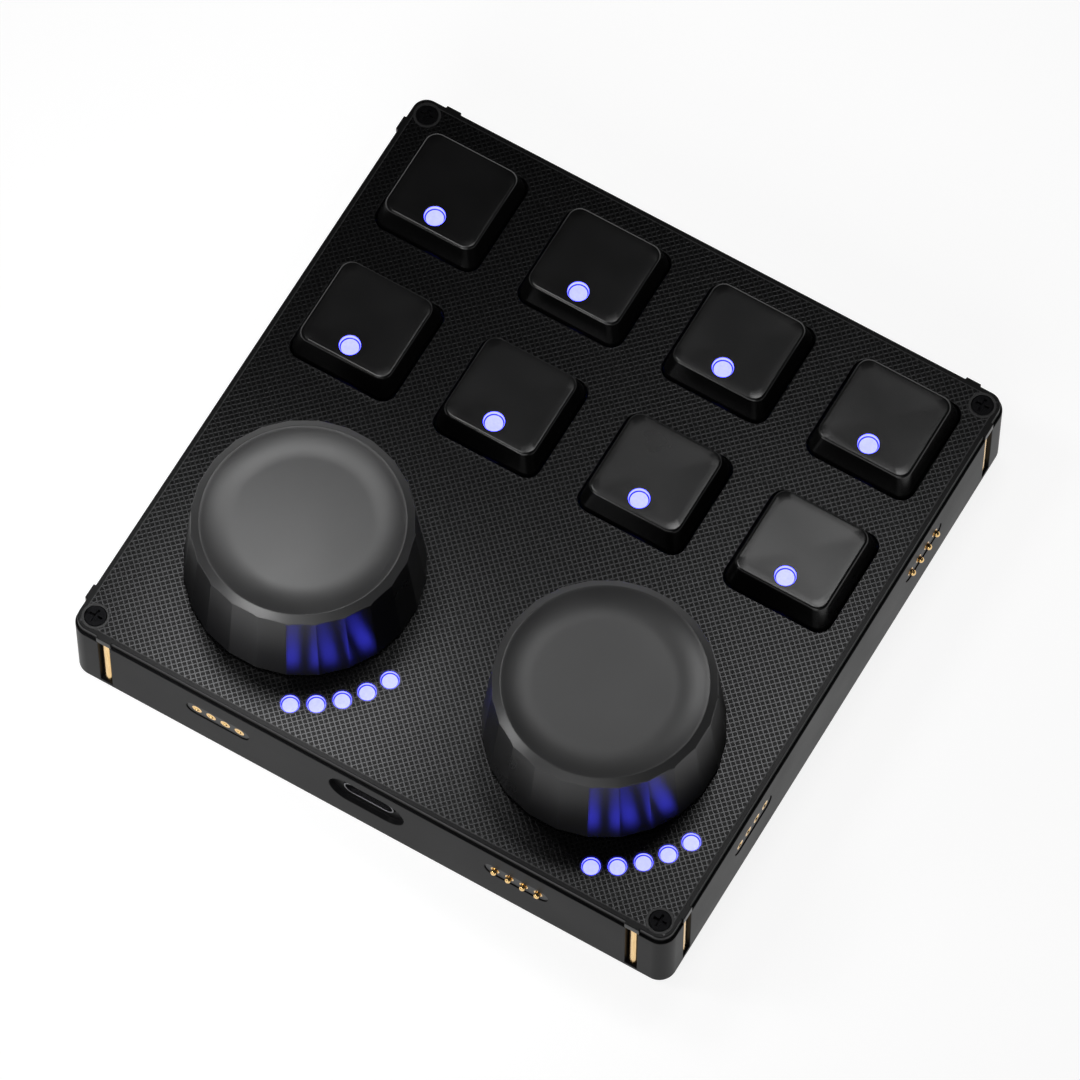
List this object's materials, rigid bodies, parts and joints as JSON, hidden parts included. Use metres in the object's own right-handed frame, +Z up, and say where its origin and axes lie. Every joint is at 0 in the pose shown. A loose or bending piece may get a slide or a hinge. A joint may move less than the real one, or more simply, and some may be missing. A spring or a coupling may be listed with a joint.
{
  "type": "macro keypad with knobs",
  "caption": "Square desk keypad with rows of low lit keys, faceted rotary push knobs with arcs of lights, a USB-C socket and magnetic docking contacts on every side.",
  "frame": {"origin": "on the table under the middle of the case", "axes": "+X to the right, +Y to the rear row of keys, +Z up from the table"},
  "size_m": [0.108, 0.108, 0.0343],
  "materials": {
    "case_black": "satin black, fine grained",
    "plate_black": "black lacquer over a fine raised diagonal mesh",
    "screw_black": "black oxide",
    "brass": "knurled, turned",
    "rubber": "matt",
    "gold_plate": "bright gold plating",
    "board_green": "solder mask",
    "steel": "plain",
    "dark_nickel": "black nickel, satin",
    "block_black": "moulded",
    "light_blue": "milky, lit from behind",
    "keycap_black": "satin, smooth",
    "stem_red": "moulded",
    "stem_white": "moulded",
    "knob_black": "glossy facets, satin top"
  },
  "bodies": {
    "root": {"case_tray": "case_black", "top_plate": "plate_black", "plate_screws": "screw_black", "screw_inserts": "brass", "rubber_feet": "rubber", "corner_magnets": "gold_plate", "main_board": "board_green", "board_screws": "steel", "usb_shell": "dark_nickel", "usb_tongue": "block_black", "switch_housings": "block_black", "board_leds": "light_blue", "light_guides": "light_blue", "controller_chips": "block_black", "encoder_bodies": "block_black", "encoder_bushings": "steel", "dock_blocks": "block_black", "dock_contacts": "gold_plate"},
    "key_1": {"keycap_1": "keycap_black", "key_lens_1": "light_blue", "key_stem_1": "stem_red", "key_spring_1": "steel"},
    "key_2": {"keycap_2": "keycap_black", "key_lens_2": "light_blue", "key_stem_2": "stem_red", "key_spring_2": "steel"},
    "key_3": {"keycap_3": "keycap_black", "key_lens_3": "light_blue", "key_stem_3": "stem_red", "key_spring_3": "steel"},
    "key_4": {"keycap_4": "keycap_black", "key_lens_4": "light_blue", "key_stem_4": "stem_red", "key_spring_4": "steel"},
    "key_5": {"keycap_5": "keycap_black", "key_lens_5": "light_blue", "key_stem_5": "stem_red", "key_spring_5": "steel"},
    "key_6": {"keycap_6": "keycap_black", "key_lens_6": "light_blue", "key_stem_6": "stem_red", "key_spring_6": "steel"},
    "key_7": {"keycap_7": "keycap_black", "key_lens_7": "light_blue", "key_stem_7": "stem_red", "key_spring_7": "steel"},
    "key_8": {"keycap_8": "keycap_black", "key_lens_8": "light_blue", "key_stem_8": "stem_red", "key_spring_8": "steel"},
    "push_left": {"push_cup_left": "stem_white"},
    "knob_left": {"knob_left": "knob_black", "encoder_shaft_left": "steel"},
    "push_right": {"push_cup_right": "stem_white"},
    "knob_right": {"knob_right": "knob_black", "encoder_shaft_right": "steel"},
    "pins_front": {"spring_pins_front": "gold_plate"},
    "pins_right": {"spring_pins_right": "gold_plate"},
    "pins_rear": {"spring_pins_rear": "gold_plate"},
    "pins_left": {"spring_pins_left": "gold_plate"}
  },
  "joints": [
    {"name": "key_1_press", "type": "slide", "parent": "root", "child": "key_1", "axis": [0, 0, -1], "range_m": [0, 0.003], "stiffness_N_per_m": 100, "springref_m": -0.0035, "deforming": ["key_spring_1"]},
    {"name": "key_2_press", "type": "slide", "parent": "root", "child": "key_2", "axis": [0, 0, -1], "range_m": [0, 0.003], "stiffness_N_per_m": 100, "springref_m": -0.0035, "deforming": ["key_spring_2"]},
    {"name": "key_3_press", "type": "slide", "parent": "root", "child": "key_3", "axis": [0, 0, -1], "range_m": [0, 0.003], "stiffness_N_per_m": 100, "springref_m": -0.0035, "deforming": ["key_spring_3"]},
    {"name": "key_4_press", "type": "slide", "parent": "root", "child": "key_4", "axis": [0, 0, -1], "range_m": [0, 0.003], "stiffness_N_per_m": 100, "springref_m": -0.0035, "deforming": ["key_spring_4"]},
    {"name": "key_5_press", "type": "slide", "parent": "root", "child": "key_5", "axis": [0, 0, -1], "range_m": [0, 0.003], "stiffness_N_per_m": 100, "springref_m": -0.0035, "deforming": ["key_spring_5"]},
    {"name": "key_6_press", "type": "slide", "parent": "root", "child": "key_6", "axis": [0, 0, -1], "range_m": [0, 0.003], "stiffness_N_per_m": 100, "springref_m": -0.0035, "deforming": ["key_spring_6"]},
    {"name": "key_7_press", "type": "slide", "parent": "root", "child": "key_7", "axis": [0, 0, -1], "range_m": [0, 0.003], "stiffness_N_per_m": 100, "springref_m": -0.0035, "deforming": ["key_spring_7"]},
    {"name": "key_8_press", "type": "slide", "parent": "root", "child": "key_8", "axis": [0, 0, -1], "range_m": [0, 0.003], "stiffness_N_per_m": 100, "springref_m": -0.0035, "deforming": ["key_spring_8"]},
    {"name": "knob_left_push", "type": "slide", "parent": "root", "child": "push_left", "axis": [0, 0, -1], "range_m": [0, 0.0005], "stiffness_N_per_m": 800, "springref_m": -0.004},
    {"name": "knob_left_turn", "type": "hinge", "parent": "push_left", "child": "knob_left", "pos_m": [-0.0267, -0.0266, 0.0179], "axis": [0, 0, 1], "continuous": true},
    {"name": "knob_right_push", "type": "slide", "parent": "root", "child": "push_right", "axis": [0, 0, -1], "range_m": [0, 0.0005], "stiffness_N_per_m": 800, "springref_m": -0.004},
    {"name": "knob_right_turn", "type": "hinge", "parent": "push_right", "child": "knob_right", "pos_m": [0.0267, -0.0266, 0.0179], "axis": [0, 0, 1], "continuous": true},
    {"name": "pins_front_press", "type": "slide", "parent": "root", "child": "pins_front", "axis": [0, 1, 0], "range_m": [0, 0.0007], "stiffness_N_per_m": 1000, "springref_m": -0.0008},
    {"name": "pins_right_press", "type": "slide", "parent": "root", "child": "pins_right", "axis": [-1, 0, 0], "range_m": [0, 0.0007], "stiffness_N_per_m": 1000, "springref_m": -0.0008},
    {"name": "pins_rear_press", "type": "slide", "parent": "root", "child": "pins_rear", "axis": [0, -1, 0], "range_m": [0, 0.0007], "stiffness_N_per_m": 1000, "springref_m": -0.0008},
    {"name": "pins_left_press", "type": "slide", "parent": "root", "child": "pins_left", "axis": [1, 0, 0], "range_m": [0, 0.0007], "stiffness_N_per_m": 1000, "springref_m": -0.0008}
  ]
}
